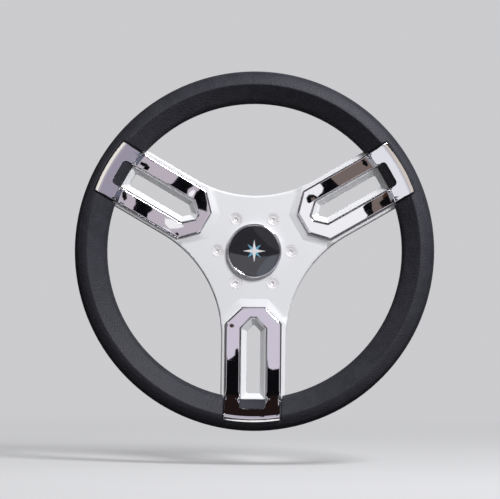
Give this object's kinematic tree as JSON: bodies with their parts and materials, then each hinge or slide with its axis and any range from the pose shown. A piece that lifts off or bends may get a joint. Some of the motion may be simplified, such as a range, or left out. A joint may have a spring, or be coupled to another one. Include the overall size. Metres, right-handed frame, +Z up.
{
  "type": "boat steering wheel",
  "caption": "Spoked boat steering wheel with a moulded rim, a slotted cast spider, chromed inserts, a round centre cap and a tapered, keyed hub.",
  "frame": {"origin": "on the wheel's axis at the hub's rear face, where the shaft's taper is widest", "axes": "+Y along the axis, from the wheel's front towards the helm; +Z up, opposite the lower spoke; +X to the right as seen from the front"},
  "size_m": [0.36, 0.0773, 0.36],
  "materials": {
    "rim_polyurethane": "matte, fine grain",
    "spider_enamel": "gloss",
    "insert_chrome": "polished",
    "screw_steel": "satin",
    "hub_black": "satin",
    "cap_chrome": "polished",
    "disc_gloss": "gloss",
    "ring_rubber": "matte"
  },
  "bodies": {
    "root": {"rim_grip": "rim_polyurethane", "spoke_spider": "spider_enamel", "insert_lower": "insert_chrome", "insert_upper_left": "insert_chrome", "insert_upper_right": "insert_chrome", "insert_screws": "screw_steel", "hub_boss": "hub_black", "hub_screws": "screw_steel", "cap_bezel": "cap_chrome", "cap_disc": "disc_gloss", "cap_o_ring": "ring_rubber"}
  },
  "joints": []
}
